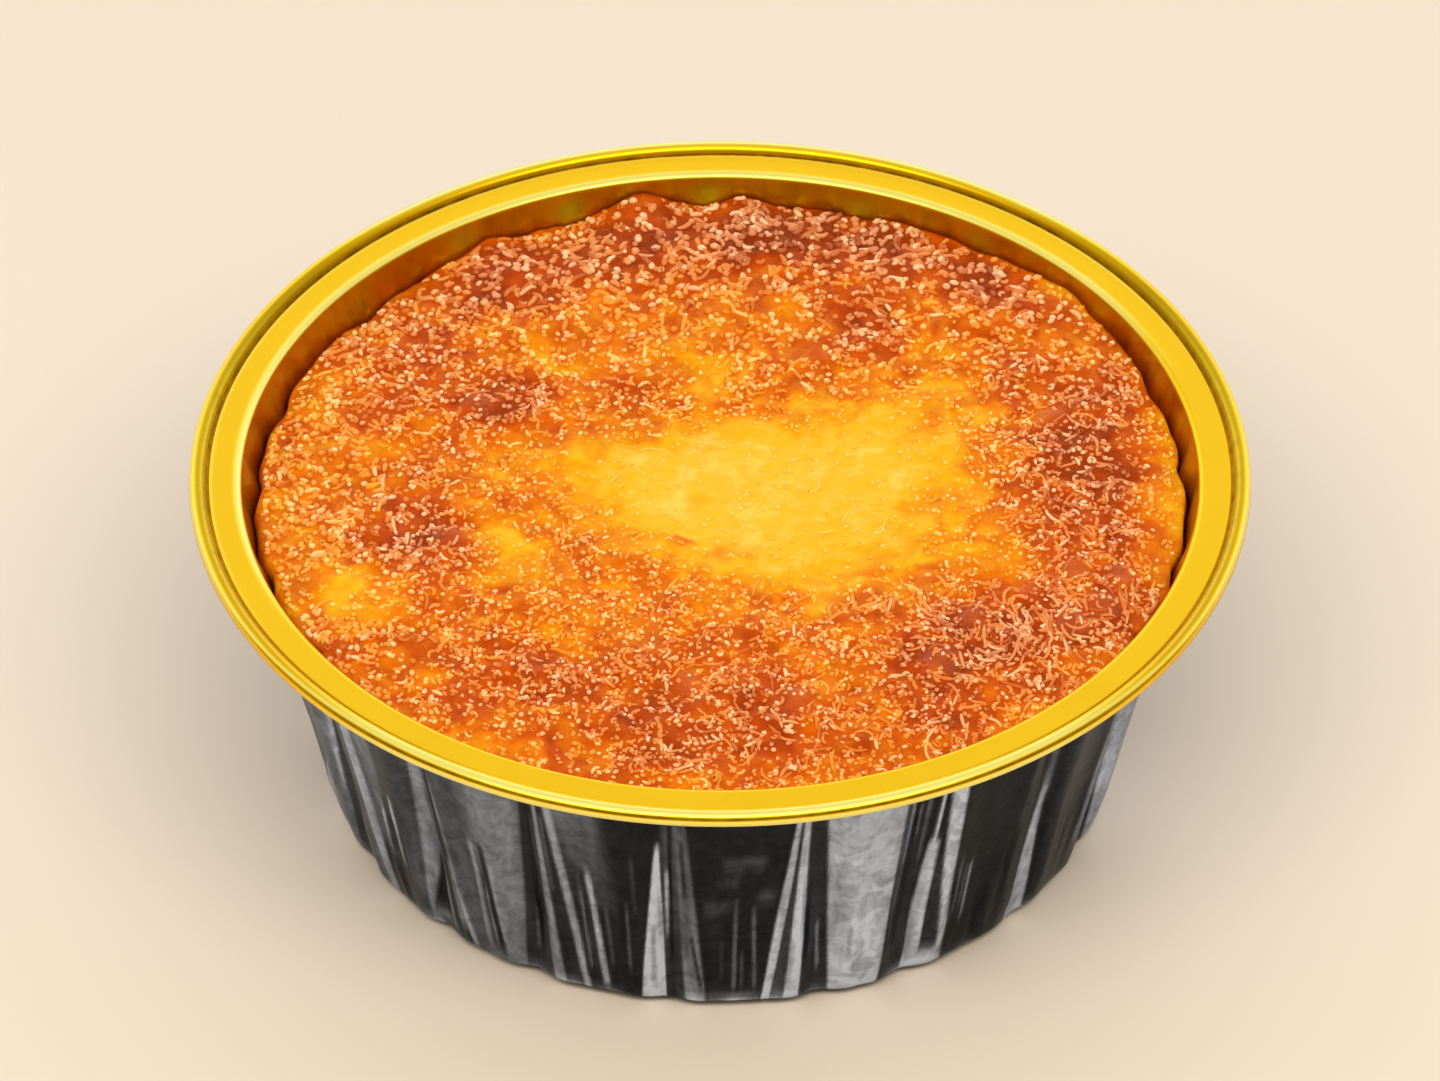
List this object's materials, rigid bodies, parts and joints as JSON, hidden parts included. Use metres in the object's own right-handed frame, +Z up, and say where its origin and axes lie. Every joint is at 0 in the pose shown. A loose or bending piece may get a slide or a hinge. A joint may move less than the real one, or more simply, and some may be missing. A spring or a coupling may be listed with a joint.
{
  "type": "basbousa in a foil baking cup",
  "caption": "Round semolina cake with a browned, glossy, craggy crust, baked in a pleated foil cup with a flat flange and a rolled bead round its rim.",
  "frame": {"origin": "centre of the cup's flat base, on the surface that it stands on", "axes": "+Z up out of the cup's mouth, -Y towards the front, +X to the right seen from the front"},
  "size_m": [0.12, 0.12, 0.0419],
  "materials": {
    "gold_foil": "gold lacquered foil, satin gloss",
    "dark_foil": "dark grey lacquered foil, glossy and wrinkled",
    "crust": "browned semolina crust with a syrup gloss"
  },
  "bodies": {
    "root": {"foil_cup": "gold_foil", "cake": "crust"}
  },
  "joints": []
}
